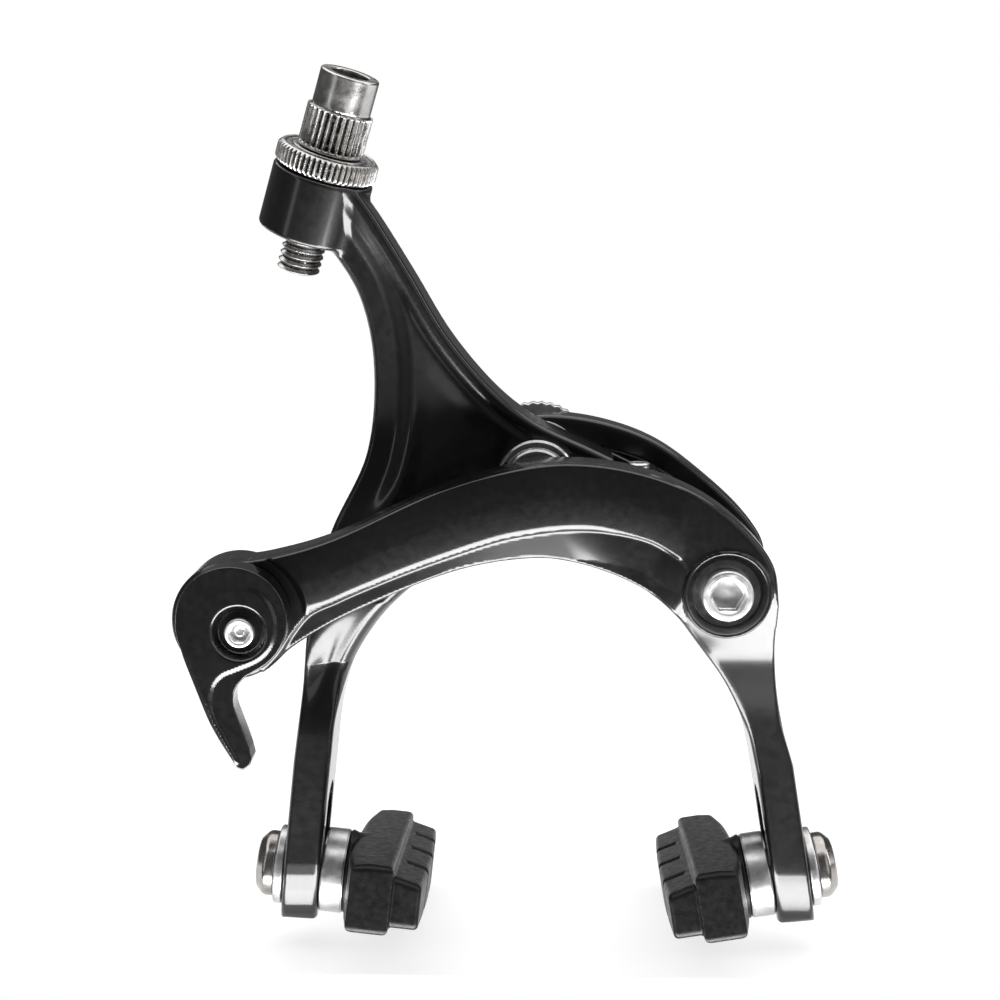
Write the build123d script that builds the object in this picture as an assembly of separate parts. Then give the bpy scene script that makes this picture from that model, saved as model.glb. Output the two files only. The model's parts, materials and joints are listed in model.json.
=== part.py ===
"""Dual-pivot side-pull rim brake caliper, long reach, in millimetres.

+X is to the viewer's right with the brake seen from the front, +Z is up and the front faces -Y.
The origin is on the centre bolt's axis, at the serrated washer's rear face, which seats on the fork crown.
"""
from build123d import *
from math import cos, pi, radians, sin
import os

# Driving dimensions: the two pivots and the depth of each layer, the front being negative.
BOLT_R = 3.0
BOLT_FREE = 38.0
SHANK_R = 3.25
RUN = 0.05
SIDE_X, SIDE_Z = 25.5, -14.0
WASHER_BACK = -1.8
BRACKET_FRONT = -8.2
Y_ARM_BACK, Y_ARM_FRONT = -9.3, -19.4
C_ARM_BACK, C_ARM_FRONT = -25.0, -32.5
ARM_GAP = 0.15

# Legs and brake shoes. The slot's foot gives the longest reach.
REACH = 57.5
SLOT_TRAVEL = 10.0
SHOE_Y = -19.8
LEG_THICK = 5.2
LEG_DEPTH = 11.4
LEG_FOOT = 6.9
LEG_TOP = 17.0
LEFT_FACE_X, LEFT_TILT = -30.7, 6.2
RIGHT_FACE_X, RIGHT_TILT = 33.6, 9.5
SLOT_R = 3.1
SHOE_PITCH = 11.0
SHOE_LENGTH = 50.0
SHOE_LOW, SHOE_HIGH = -3.3, 5.4
BLOCK_LOW, BLOCK_HIGH = -2.3, 4.5

# Quick-release lever on the round end of the front arm.
QR_X, QR_Z = -41.3, -18.3
QR_HUB_R = 4.6
QR_OFFSET = (1.9, -0.5)
ROUND_END_R = 8.15
ROUND_END_FRONT = -31.3
LEVER_WELL_R = 10.2
LEVER_HEAD_R = 7.4
LEVER_HEAD_OFFSET = (0.9, 1.1)
LEVER_BACK, LEVER_FRONT = -31.7, -36.0

# Contact between the arms: a screw in the front arm's lug over a plate on the rear arm's tail.
CONTACT_X, CONTACT_Y = 14.4, -15.2
SCREW_R = 1.6
CONTACT_GAP = 0.5
PLATE_TOP, PLATE_THICK = -3.3, 0.8
LUG_TOP, LUG_THICK, LUG_BACK = 0.6, 2.6, -12.0

# Barrel adjuster: the middle of its lock ring, and its axis, upwards.
RING_AT = Vector(-28.5, -20.6, 43.2)
ADJUSTER_AXIS = Vector(0.299, -0.207, 0.932).normalized()
RING_R, RING_THICK = 7.0, 2.9
BOSS_R, BOSS_LENGTH = 6.9, 9.0


def front_plane(y):
    """A sketch plane facing the front, with its x along X and its y along Z."""
    return Plane(origin=(0, y, 0), x_dir=(1, 0, 0), z_dir=(0, -1, 0))


def slab(face, front, back):
    """The XZ sketch face as a slab between two depths."""
    return extrude(front_plane(back) * face, amount=back - front)


def disc(x, z, radius, front, back):
    return slab(Pos(x, z) * Circle(radius), front, back)


def ring(x, z, radius, bore, front, back):
    return disc(x, z, radius, front, back) - disc(x, z, bore, front - 1, back + 1)


def side_cut(points, x_low, x_high):
    """A closed side outline of (Y, Z) points, as a prism along X."""
    face = make_face(Polyline(*points, close=True))
    return extrude(Plane.YZ.offset(x_low) * face, amount=x_high - x_low)


def rod(start, direction, radius, length):
    """A round bar from start along direction."""
    return extrude(Plane(origin=start, z_dir=direction) * Circle(radius), amount=length)


def leg_frame(side):
    """The plane of a leg's inner face at the foot of its slot: z points inwards and y up the leg."""
    if side == "left":
        tilt, x, way = radians(LEFT_TILT), LEFT_FACE_X, 1
    else:
        tilt, x, way = radians(RIGHT_TILT), RIGHT_FACE_X, -1
    inward = (way * cos(tilt), 0, -sin(tilt))
    return Plane(origin=(x, SHOE_Y, -REACH), x_dir=(0, way, 0), z_dir=inward)


def leg_point(side, height, depth):
    """An (X, Z) point of a leg: its height above the slot's foot, and its depth from the inner face."""
    point = leg_frame(side).from_local_coords((0, height, -depth))
    return point.X, point.Z


def leg_slot(side):
    """The slot that a shoe's bolt slides in, cut through the leg."""
    outline = Pos(0, SLOT_TRAVEL / 2) * SlotCenterToCenter(SLOT_TRAVEL, 2 * SLOT_R, rotation=90)
    return leg_frame(side) * Pos(0, 0, -2 * LEG_THICK) * extrude(outline, amount=4 * LEG_THICK)


def leg(side):
    """The straight part of a leg, round at its foot, that holds the slot."""
    width = LEG_DEPTH / 2
    outline = Pos(0, (LEG_TOP - LEG_FOOT) / 2) * Rectangle(LEG_DEPTH, LEG_TOP + LEG_FOOT)
    bar = extrude(outline, amount=-LEG_THICK)
    foot = bar.edges().filter_by(Axis.Z).group_by(Axis.Y)[0]
    bar = fillet(foot, width * 0.55)
    return leg_frame(side) * chamfer(bar.faces().sort_by(Axis.Y)[0].edges().filter_by(Axis.X), 0.6)


def make_y_arm():
    """Rear arm: the horn with the adjuster's boss, the hub, the tail and the left leg."""
    outer = Spline((-26.0, 41.5), (-22.2, 36.5), (-17.3, 28.4), (-12.2, 19.6), (-6.0, 12.1), (0, 7.4),
                   (7.6, 3.8), (17.4, -0.9))
    tail = Polyline((17.4, -0.9), (18.4, -3.2), (17.6, -8.4))
    inner_low, outer_low = leg_point("left", LEG_TOP, 0), leg_point("left", LEG_TOP, LEG_THICK)
    under = Spline((17.6, -8.4), (8.0, -8.6), (-2.0, -9.6), (-12.0, -12.0), (-19.5, -17.0),
                   (-25.0, -24.5), (-27.7, -32.0), inner_low)
    foot = Line(inner_low, outer_low)
    inner = Spline(outer_low, (-32.7, -30.0), (-31.4, -18.0), (-28.9, -8.0), (-23.9, 3.0),
                   (-22.6, 15.0), (-24.3, 25.0), (-29.0, 33.0))
    neck = Polyline((-29.0, 33.0), (-30.5, 37.0), (-26.0, 41.5))
    blank = slab(make_face(outer + tail + under + foot + inner + neck), -30, -8)
    side = side_cut(
        [(-26.0, 45), (-24.5, 30), (-20.6, 17), (Y_ARM_FRONT, 10), (Y_ARM_FRONT, -6), (-24.4, -14),
         (-24.6, -22), (-25.5, -32), (-25.5, -45), (-14.1, -45), (-14.1, -38), (Y_ARM_BACK, -20),
         (Y_ARM_BACK, 12), (-12.5, 28), (-15.5, 45)], -50, 30)
    arm = blank & side
    arm += leg("left")
    boss_top = RING_THICK / 2 + 0.1
    arm += rod(RING_AT - ADJUSTER_AXIS * (BOSS_LENGTH + boss_top), ADJUSTER_AXIS, BOSS_R, BOSS_LENGTH)
    arm -= rod(RING_AT - ADJUSTER_AXIS * boss_top, ADJUSTER_AXIS, RING_R + 2, 12)
    arm -= rod(RING_AT - ADJUSTER_AXIS * 30, ADJUSTER_AXIS, 3.15, 40)
    # The tail is stepped down for its contact plate, in front of a rib that keeps the arm's outline.
    arm -= slab(Pos(15.3, PLATE_TOP - PLATE_THICK + 4) * Rectangle(9.0, 8.0), -30, LUG_BACK + 0.3)
    arm -= disc(0, 0, 4.2, -40, 5)
    arm -= leg_slot("left")
    arm += disc(-17.5, -11.6, 2.0, Y_ARM_BACK - 1, -6.0)
    return arm


def make_tail_plate():
    """Hardened plate on the tail, which the centring screw bears on."""
    middle = Pos(CONTACT_X + 0.6, PLATE_TOP - PLATE_THICK / 2)
    return slab(middle * Rectangle(6.0, PLATE_THICK), -18.4, -12.0)


def make_c_arm():
    """Front arm: the round end for the cable, the arch, the side pivot's boss and the right leg."""
    top = Spline((-41.3, -10.15), (-36.0, -9.5), (-27.0, -6.8), (-13.2, -0.4), (-2.4, 2.7), (5.6, 3.4),
                 (13.7, 2.2), (21.1, -0.6), (27.0, -4.8), (31.3, -10.0), (32.4, -15.8))
    inner_low, outer_low = leg_point("right", LEG_TOP, 0), leg_point("right", LEG_TOP, LEG_THICK)
    outside = Spline((32.4, -15.8), (32.5, -23.0), (33.5, -31.5), outer_low)
    foot = Line(outer_low, inner_low)
    inside = Spline(inner_low, (29.2, -34.2), (26.3, -27.8), (22.6, -22.4), (18.2, -16.6),
                    (12.3, -12.6), (4.3, -10.1), (-2.3, -9.8), (-11.6, -11.6), (-23.3, -16.4),
                    (-31.7, -21.0), (-36.4, -24.8))
    end = Polyline((-36.4, -24.8), (-41.3, -18.3), (-41.3, -10.15))
    outline = make_face(top + outside + foot + inside + end)
    arch = slab(outline, C_ARM_FRONT, C_ARM_BACK) - slab(Pos(32, -37) * Rectangle(30, 30), -40, 0)
    column = slab(outline, -40, -12) & side_cut(
        [(C_ARM_FRONT, 0), (C_ARM_FRONT, -22), (-28.5, -28), (-26.0, -34), (-25.5, -45), (-14.1, -45),
         (-14.1, -30), (-16.5, -22), (-24.9, -12), (-24.9, 0)], 17, 45)
    arm = arch + column
    arm += disc(QR_X, QR_Z, ROUND_END_R, ROUND_END_FRONT, -21.0)
    arm += disc(SIDE_X, SIDE_Z, 6.8, C_ARM_FRONT, -12.9)
    arm += leg("right")
    # Lug over the rear arm's tail, for the centring screw.
    lug_middle = Pos(CONTACT_X, LUG_TOP - LUG_THICK / 2)
    arm += slab(lug_middle * Rectangle(5.6, LUG_THICK), C_ARM_BACK - 0.5, LUG_BACK)
    arm -= Pos(CONTACT_X, CONTACT_Y, 0) * Cylinder(SCREW_R + RUN, 12)
    arm -= disc(QR_X, QR_Z, LEVER_WELL_R, -40, ROUND_END_FRONT)
    arm -= disc(SIDE_X, SIDE_Z, 4.2, -40, 0)
    arm -= disc(SIDE_X, SIDE_Z, 5.0, -40, -30.6)
    arm -= disc(QR_X, QR_Z, QR_HUB_R + RUN, -40, 0)
    arm -= leg_slot("right")
    return arm


def make_bracket():
    """Carrier plate between the centre bolt and the side pivot, behind both arms."""
    over = Spline((-4.6, 5.6), (0.5, 7.3), (9.1, 6.4), (17.6, 3.3), (25.6, -2.6), (31.4, -8.4),
                  (33.4, -12.8))
    round_side = Spline((33.4, -12.8), (32.6, -18.2), (28.4, -21.8), (22.5, -21.4))
    under = Spline((22.5, -21.4), (12.0, -16.0), (3.0, -10.6), (-4.2, -6.4))
    round_hub = ThreePointArc((-4.2, -6.4), (-7.6, -0.4), (-4.6, 5.6))
    plate = slab(make_face(over + round_side + under + round_hub), BRACKET_FRONT, WASHER_BACK)
    plate += disc(SIDE_X, SIDE_Z, 6.4, -12.1, BRACKET_FRONT)
    plate -= slab(Pos(14.0, -4.6) * Rot(0, 0, -28) * SlotCenterToCenter(6.0, 5.0), -9, 0)
    plate -= disc(0, 0, SHANK_R, -20, 5)
    plate -= disc(SIDE_X, SIDE_Z, 3.0, -20, -3.2)
    plate -= rod((14.0, -5.0, -13.0), (-1, 0, 0.02), 0.9, 16.0)
    return plate


def make_return_spring():
    """Bent spring wire: one end is in the bracket and the other lifts the slider on the rear arm."""
    route = FilletPolyline((13.4, -5.0, -12.99), (2.0, -5.0, -12.76), (-9.5, -5.0, -14.9),
                           (-20.5, -5.0, -14.9), radius=[8.0, 8.0])
    return sweep(Plane(origin=route @ 0, z_dir=route % 0) * Circle(0.8), path=route)


def make_centre_bolt():
    """M6 bolt, held in the bracket, with a thicker pivot shank and its threaded end free to the rear."""
    shank = chamfer(disc(0, 0, SHANK_R, -23.0, 0).edges().sort_by(Axis.Y)[0], 0.5)
    free = chamfer(disc(0, 0, BOLT_R, -1.0, BOLT_FREE).edges().sort_by(Axis.Y)[-1], 0.5)
    return shank + free


def hexagon_pit(across, depth):
    """A hexagon socket to cut, from the XY plane downwards."""
    return extrude(RegularPolygon(across / 2, 6, major_radius=False), amount=-depth)


def make_pivot_nut():
    """Round flanged nut with a hexagon socket, which keeps the rear arm on the centre bolt."""
    flange = chamfer(disc(0, 0, 5.5, -23.0, -20.4).edges().sort_by(Axis.Y)[0], 0.4)
    head = fillet(disc(0, 0, 4.4, -24.2, -22.0).edges().sort_by(Axis.Y)[0], 0.5)
    return flange + head - disc(0, 0, SHANK_R, -23.0, -20) - front_plane(-24.2) * hexagon_pit(4.0, 1.0)


def make_side_pivot_bolt():
    """Socket-head bolt that the front arm turns on."""
    head = fillet(disc(SIDE_X, SIDE_Z, 3.5, -33.4, -31.2).edges().sort_by(Axis.Y)[0], 0.5)
    shank = disc(SIDE_X, SIDE_Z, BOLT_R, -31.3, -3.4)
    return head + shank - front_plane(-33.4) * Pos(SIDE_X, SIDE_Z) * hexagon_pit(4.0, 1.8)


def make_qr_lever():
    """Curved lever with a round head and a pit for its screw."""
    head_x, head_z = QR_X + LEVER_HEAD_OFFSET[0], QR_Z + LEVER_HEAD_OFFSET[1]
    head = disc(head_x, head_z, LEVER_HEAD_R, LEVER_FRONT, LEVER_BACK)
    left = Spline((-47.7, -18.0), (-46.9, -22.1), (-44.2, -29.8), (-40.3, -37.1))
    tip = ThreePointArc((-40.3, -37.1), (-39.2, -37.7), (-38.1, -36.4))
    right = Spline((-38.1, -36.4), (-39.0, -32.9), (-40.3, -28.4), (-39.3, -25.3), (-36.0, -22.4))
    top = Line((-36.0, -22.4), (-47.7, -18.0))
    blade = slab(make_face(left + tip + right + top), LEVER_FRONT, LEVER_BACK)
    lever = head + blade
    x, z = QR_X + QR_OFFSET[0], QR_Z + QR_OFFSET[1]
    lever -= disc(x, z, 3.9, LEVER_FRONT - 1, LEVER_FRONT + 1.4)
    return lever - disc(x, z, 1.55, LEVER_FRONT - 1, LEVER_BACK + 1)


def make_qr_hub():
    """Drum of the lever, which turns in the round end and carries the cable's bolt off centre."""
    x, z = QR_X + QR_OFFSET[0], QR_Z + QR_OFFSET[1]
    drum = disc(QR_X, QR_Z, QR_HUB_R, LEVER_BACK, -20.6)
    return drum - disc(x, z, 1.5, -40, -26.0) - disc(x, z, 2.5, -25.0, -10)


def make_qr_screw():
    """Small socket screw that clamps the lever to its hub."""
    x, z = QR_X + QR_OFFSET[0], QR_Z + QR_OFFSET[1]
    head = disc(x, z, 2.0, LEVER_FRONT + 0.2, LEVER_FRONT + 1.4)
    screw = head + disc(x, z, 1.5, LEVER_FRONT + 1.3, -26.2)
    return screw - front_plane(LEVER_FRONT + 0.2) * Pos(x, z) * hexagon_pit(2.0, 0.8)


def make_anchor_plate():
    """Grooved plate that presses the brake cable against the hub."""
    x, z = QR_X + QR_OFFSET[0], QR_Z + QR_OFFSET[1]
    plate = fillet(slab(Pos(x, z) * Rectangle(9.0, 8.0), -20.5, -18.3).edges().filter_by(Axis.Y), 1.5)
    plate -= disc(x, z, 2.55, -30, -10)
    return plate - rod((x - 3.6, -20.5, z - 8), (0, 0, 1), 0.8, 16)


def make_anchor_washer():
    x, z = QR_X + QR_OFFSET[0], QR_Z + QR_OFFSET[1]
    return ring(x, z, 4.6, 2.55, -18.3, -17.4)


def make_anchor_bolt():
    """M5 hexagon bolt that clamps the cable."""
    x, z = QR_X + QR_OFFSET[0], QR_Z + QR_OFFSET[1]
    head = slab(Pos(x, z) * RegularPolygon(4.0, 6, major_radius=False), -17.4, -13.6)
    return head + disc(x, z, 2.5, -24.8, -17.3)


def make_adjuster_bolt():
    """Hollow threaded barrel: the cable's housing seats in its top and the cable leaves below."""
    foot = RING_AT - ADJUSTER_AXIS * 15.8
    ring_top = RING_THICK / 2
    body = rod(foot, ADJUSTER_AXIS, 3.0, 15.8 + ring_top + 0.5)
    body += rod(RING_AT + ADJUSTER_AXIS * (ring_top + 0.1), ADJUSTER_AXIS, 4.5, 5.9)
    body += rod(RING_AT + ADJUSTER_AXIS * (ring_top + 5.9), ADJUSTER_AXIS, 4.0, 4.8)
    body -= rod(RING_AT + ADJUSTER_AXIS * (ring_top + 2.7), ADJUSTER_AXIS, 2.6, 12)
    return body - rod(foot - ADJUSTER_AXIS, ADJUSTER_AXIS, 1.1, 40)


def make_lock_ring():
    """Knurled ring nut that rests on the boss and moves the barrel as it turns."""
    blank = rod(RING_AT - ADJUSTER_AXIS * (RING_THICK / 2), ADJUSTER_AXIS, RING_R, RING_THICK)
    blank = chamfer(blank.edges().filter_by(GeomType.CIRCLE), 0.4)
    return blank - rod(RING_AT - ADJUSTER_AXIS * 5, ADJUSTER_AXIS, 3.0 + RUN, 10)


# Shoe fixings, measured inwards from the leg's inner face.
CONCAVE = (0.1, 1.9)
CONVEX_END = 3.4
SHOE_BACK = 3.5
SHOE_BODY = (4.4, 11.25)
SHOE_FACE = 15.6
WASHER_SPHERE = 9.0
INSERT_BARREL_R = 3.6
INSERT_PLATE = 9.2
BOLT_TIP = 9.0


def plain_disc(radius, low, high):
    return Pos(0, 0, low) * extrude(Circle(radius), amount=high - low)


def plain_ring(radius, bore, low, high):
    return plain_disc(radius, low, high) - plain_disc(bore, low - 1, high + 1)


def insert_blank():
    """The shoe insert's outer shape: a barrel and the plate on its inner end."""
    barrel = plain_disc(INSERT_BARREL_R, 5.0, INSERT_PLATE)
    plate = Pos(0, 0, INSERT_PLATE) * Box(34, 4.4, 1.4, align=(Align.CENTER, Align.CENTER, Align.MIN))
    return barrel + plate


def make_washers(side):
    """The concave washer on the leg and the convex one in it, which let the shoe be toed in."""
    ball = Pos(0, 0, CONVEX_END + 0.2 - WASHER_SPHERE + 6.6) * Sphere(WASHER_SPHERE)
    both = plain_ring(6.0, SLOT_R, CONCAVE[0], CONVEX_END)
    dish = Pos(0, 0, 1.0 + WASHER_SPHERE) * Sphere(WASHER_SPHERE)
    frame = leg_frame(side)
    return frame * (both - dish), frame * (both & dish & ball)


def make_shoe_bolt(side):
    """Button-head bolt through the leg's slot into the shoe's insert."""
    head_low = -LEG_THICK - 4.2
    head = Pos(0, 0, head_low) * Cylinder(4.65, 2.7, align=(Align.CENTER, Align.CENTER, Align.MIN))
    head = chamfer(head.edges().filter_by(GeomType.CIRCLE).sort_by(Axis.Z)[0], 1.5)
    shank = plain_disc(BOLT_R, head_low + 2.6, BOLT_TIP)
    socket = Pos(0, 0, head_low) * Rot(180, 0, 0) * hexagon_pit(4.0, 1.8)
    return leg_frame(side) * (head + shank - socket)


def make_outer_washer(side):
    return leg_frame(side) * plain_ring(5.6, SLOT_R, -LEG_THICK - 1.4, -LEG_THICK - 0.1)


def shoe_frame(side):
    """The leg's frame turned about the bolt, so that the shoe's front end stands higher."""
    return leg_frame(side) * Rot(0, 0, -SHOE_PITCH if side == "left" else SHOE_PITCH)


def make_insert(side):
    """Steel plate with a threaded barrel, moulded into the shoe."""
    return shoe_frame(side) * (insert_blank() - plain_disc(BOLT_R + RUN, 0, BOLT_TIP + 0.5))


def make_shoe(side):
    """One-piece rubber shoe: a deep body, a round flange on its back and a block in four segments."""
    half = SHOE_LENGTH / 2
    back, front = SHOE_BODY
    end = back + 1.2
    rear = Spline((-half, end), (-half * 0.6, back + 0.2), (0, back), (half * 0.6, back + 0.2), (half, end))
    plan = make_face(rear + Polyline((half, end), (half, front), (-half, front), (-half, end)))
    body = extrude(Plane.XZ.offset(-SHOE_HIGH) * plan, amount=SHOE_HIGH - SHOE_LOW)
    body = fillet(body.edges().filter_by(Axis.Y), 1.2)
    body = chamfer(body.edges().filter_by(Axis.X).group_by(Axis.Y)[-1], 0.4)
    body += plain_disc(6.3, SHOE_BACK, back + 0.6)
    block = Pos(0, BLOCK_LOW, front - 0.1) * Box(
        SHOE_LENGTH - 1.6, BLOCK_HIGH - BLOCK_LOW, SHOE_FACE - front + 0.1,
        align=(Align.CENTER, Align.MIN, Align.MIN))
    for n in (-1, 0, 1):
        block -= Pos(n * SHOE_LENGTH / 4, 0, SHOE_FACE) * Box(1.5, 20, 5.0)
    hollow = insert_blank() + plain_disc(SLOT_R, 0, 6.0)
    return shoe_frame(side) * (body + block - hollow)


def make_thrust_parts():
    """Washers and bushes of the two pivots."""
    return {
        "serrated_washer": ring(0, 0, 8.6, SHANK_R, WASHER_BACK, 0),
        "rear_thrust_washer": ring(0, 0, 6.6, SHANK_R, Y_ARM_BACK + ARM_GAP, BRACKET_FRONT),
        "front_thrust_washer": ring(0, 0, 5.2, SHANK_R, -20.4, Y_ARM_FRONT - ARM_GAP),
        "y_arm_bush": ring(0, 0, 4.2, SHANK_R + RUN, Y_ARM_FRONT, Y_ARM_BACK),
        "side_pivot_bush": ring(SIDE_X, SIDE_Z, 4.2, BOLT_R + RUN, -30.6, -12.9),
        "side_thrust_washer": ring(SIDE_X, SIDE_Z, 6.2, BOLT_R, -12.75, -12.1),
        "side_head_washer": ring(SIDE_X, SIDE_Z, 4.6, BOLT_R, -31.2, -30.75),
    }


def make_centring_screw():
    """Grub screw in the front arm's lug, which bears on the rear arm's tail."""
    foot = PLATE_TOP + CONTACT_GAP
    upright = (Align.CENTER, Align.CENTER, Align.MIN)
    screw = Pos(CONTACT_X, CONTACT_Y, foot) * Cylinder(SCREW_R, 4.2, align=upright)
    screw = chamfer(screw.edges().filter_by(GeomType.CIRCLE).sort_by(Axis.Z)[0], 1.0)
    return screw - Pos(CONTACT_X, CONTACT_Y, foot + 4.2) * hexagon_pit(1.5, 1.2)


def make_spring_slider():
    """Nylon shoe on the rear arm's post, which the spring wire slides under."""
    return ring(-17.5, -11.6, 2.5, 2.0, Y_ARM_BACK + 0.3, -6.0) + disc(-17.5, -11.6, 2.5, -6.0, -4.0)


def all_parts():
    parts = {
        "y_arm": make_y_arm(),
        "tail_plate": make_tail_plate(),
        "c_arm": make_c_arm(),
        "bracket": make_bracket(),
        "return_spring": make_return_spring(),
        "spring_slider": make_spring_slider(),
        "centre_bolt": make_centre_bolt(),
        "pivot_nut": make_pivot_nut(),
        "side_pivot_bolt": make_side_pivot_bolt(),
        "centring_screw": make_centring_screw(),
        "qr_lever": make_qr_lever(),
        "qr_hub": make_qr_hub(),
        "qr_screw": make_qr_screw(),
        "anchor_plate": make_anchor_plate(),
        "anchor_washer": make_anchor_washer(),
        "anchor_bolt": make_anchor_bolt(),
        "adjuster_barrel": make_adjuster_bolt(),
        "lock_ring": make_lock_ring(),
    }
    parts.update(make_thrust_parts())
    for side in ("left", "right"):
        concave, convex = make_washers(side)
        parts[side + "_concave_washer"] = concave
        parts[side + "_convex_washer"] = convex
        parts[side + "_outer_washer"] = make_outer_washer(side)
        parts[side + "_shoe_bolt"] = make_shoe_bolt(side)
        parts[side + "_shoe_insert"] = make_insert(side)
        parts[side + "_brake_shoe"] = make_shoe(side)
    return parts


os.makedirs("parts", exist_ok=True)
for name, shape in all_parts().items():
    export_step(shape, f"parts/{name}.step")
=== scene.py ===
"""Looks of a dual-pivot rim brake caliper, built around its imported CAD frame.

Shapes are worked out in millimetres as distance fields, negative inside, and meshed on a fine grid.
+X is to the viewer's right, +Z is up, and the brake's front faces -Y. The origin is on the centre bolt.
"""
import json
from math import cos, pi, radians, sin

import bpy
import numpy as np
from mathutils import Matrix, Vector


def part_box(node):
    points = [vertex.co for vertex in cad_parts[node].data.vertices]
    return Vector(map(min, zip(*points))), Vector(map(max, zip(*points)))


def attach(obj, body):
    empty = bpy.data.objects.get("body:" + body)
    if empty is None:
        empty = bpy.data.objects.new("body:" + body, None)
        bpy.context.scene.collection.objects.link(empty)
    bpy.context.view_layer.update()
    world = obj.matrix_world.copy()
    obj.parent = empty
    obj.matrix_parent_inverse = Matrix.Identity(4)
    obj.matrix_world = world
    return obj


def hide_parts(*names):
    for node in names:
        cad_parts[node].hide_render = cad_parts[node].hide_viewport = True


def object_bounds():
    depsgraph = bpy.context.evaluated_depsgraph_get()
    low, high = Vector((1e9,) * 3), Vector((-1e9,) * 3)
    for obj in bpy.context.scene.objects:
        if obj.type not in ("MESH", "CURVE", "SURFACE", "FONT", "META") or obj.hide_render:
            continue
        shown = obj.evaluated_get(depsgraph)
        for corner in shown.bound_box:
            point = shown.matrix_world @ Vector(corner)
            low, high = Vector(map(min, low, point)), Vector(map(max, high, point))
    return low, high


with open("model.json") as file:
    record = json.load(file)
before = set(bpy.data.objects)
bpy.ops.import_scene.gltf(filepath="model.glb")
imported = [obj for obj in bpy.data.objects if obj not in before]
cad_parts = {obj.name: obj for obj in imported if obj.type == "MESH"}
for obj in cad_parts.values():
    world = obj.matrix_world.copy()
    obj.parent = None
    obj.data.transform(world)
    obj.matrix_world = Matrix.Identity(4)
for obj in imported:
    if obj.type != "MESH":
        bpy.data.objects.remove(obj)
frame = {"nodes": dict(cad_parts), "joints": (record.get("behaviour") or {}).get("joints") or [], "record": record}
cad_low, cad_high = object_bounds()
record = frame["record"]
joints = {joint["name"]: joint for joint in frame["joints"]}
MM = 0.001


def mm_box(node):
    """A node's lowest and highest corners in millimetres."""
    low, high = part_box(node)
    return np.array(low) / MM, np.array(high) / MM


def joint_axis(name):
    """A joint's axis at rest."""
    return np.array(joints[name]["axis"], float)


def joint_place(name):
    """A joint's place at rest, in millimetres."""
    return np.array(joints[name]["pos_m"], float) / MM


# ---------------------------------------------------------------- distance fields

def meet(a, b, r=0.0):
    """Where both fields are solid, with the edge between them rounded to radius r."""
    if r <= 0:
        return np.maximum(a, b)
    return np.minimum(-r, np.maximum(a, b)) + np.hypot(np.maximum(a + r, 0), np.maximum(b + r, 0))


def join(a, b, r=0.0):
    """Where either field is solid, with a fillet of radius r in the corner between them."""
    if r <= 0:
        return np.minimum(a, b)
    return np.maximum(r, np.minimum(a, b)) - np.hypot(np.maximum(r - a, 0), np.maximum(r - b, 0))


def cut(a, b, r=0.0):
    """The first field without the second."""
    return meet(a, -b, r)


def span(value, low, high):
    """Distance to the layer between two values."""
    return np.maximum(low - value, value - high)


def ease(value, low, high):
    """A smooth step from 0 at low to 1 at high."""
    t = np.clip((value - low) / (high - low), 0, 1)
    return t * t * (3 - 2 * t)


def hexagon(x, z, across):
    """Distance to a hexagon by its width across flats, with a flat at the top."""
    x, z = np.abs(x), np.abs(z)
    return np.maximum(z, x * sin(pi / 3) + z * 0.5) - across / 2


def vee(turns):
    """The profile of teeth or of a thread: 1 at each whole turn and 0 halfway between."""
    return np.abs(2 * (turns % 1.0) - 1)


def helix(along, angle, pitch=1.0):
    """The V profile of a right-hand thread."""
    return vee(along / pitch - angle / (2 * pi))


def disc_y(p, x, z, radius, front, back, r=0.0):
    """A disc whose axis is along Y."""
    return meet(np.hypot(p[:, 0] - x, p[:, 2] - z) - radius, span(p[:, 1], front, back), r)


class Axes:
    """A local frame: origin, and unit vectors across, up and along its z."""

    def __init__(self, origin, along, across=(0, -1, 0)):
        self.origin = np.array(origin, float)
        self.along = np.array(along, float) / np.linalg.norm(along)
        across = np.array(across, float)
        across = across - self.along * (across @ self.along)
        self.across = across / np.linalg.norm(across)
        self.up = np.cross(self.along, self.across)

    def local(self, p):
        q = p - self.origin
        return np.stack([q @ self.across, q @ self.up, q @ self.along], 1)


def smooth_line(points, steps=8):
    """Points along a smooth curve through the given ones."""
    before = 2 * np.array(points[0]) - points[1]
    after = 2 * np.array(points[-1]) - points[-2]
    pts = np.array([before, *points, after], float)
    line = []
    for a, b, c, d in zip(pts, pts[1:], pts[2:], pts[3:]):
        for t in np.arange(steps) / steps:
            line.append(0.5 * (2 * b + (c - a) * t + (2 * a - 5 * b + 4 * c - d) * t**2
                               + (3 * b - a - 3 * c + d) * t**3))
    line.append(np.array(points[-1], float))
    return np.array(line)


def line_distance(line, points):
    """Unsigned distance from 2-D points to an open line."""
    best = np.full(len(points), 1e9)
    for a, b in zip(line, line[1:]):
        ab = b - a
        if not ab.any():
            continue
        t = np.clip(((points - a) @ ab) / (ab @ ab), 0, 1)
        off = points - a - t[:, None] * ab
        best = np.minimum(best, off[:, 0] ** 2 + off[:, 1] ** 2)
    return np.sqrt(best)


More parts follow.
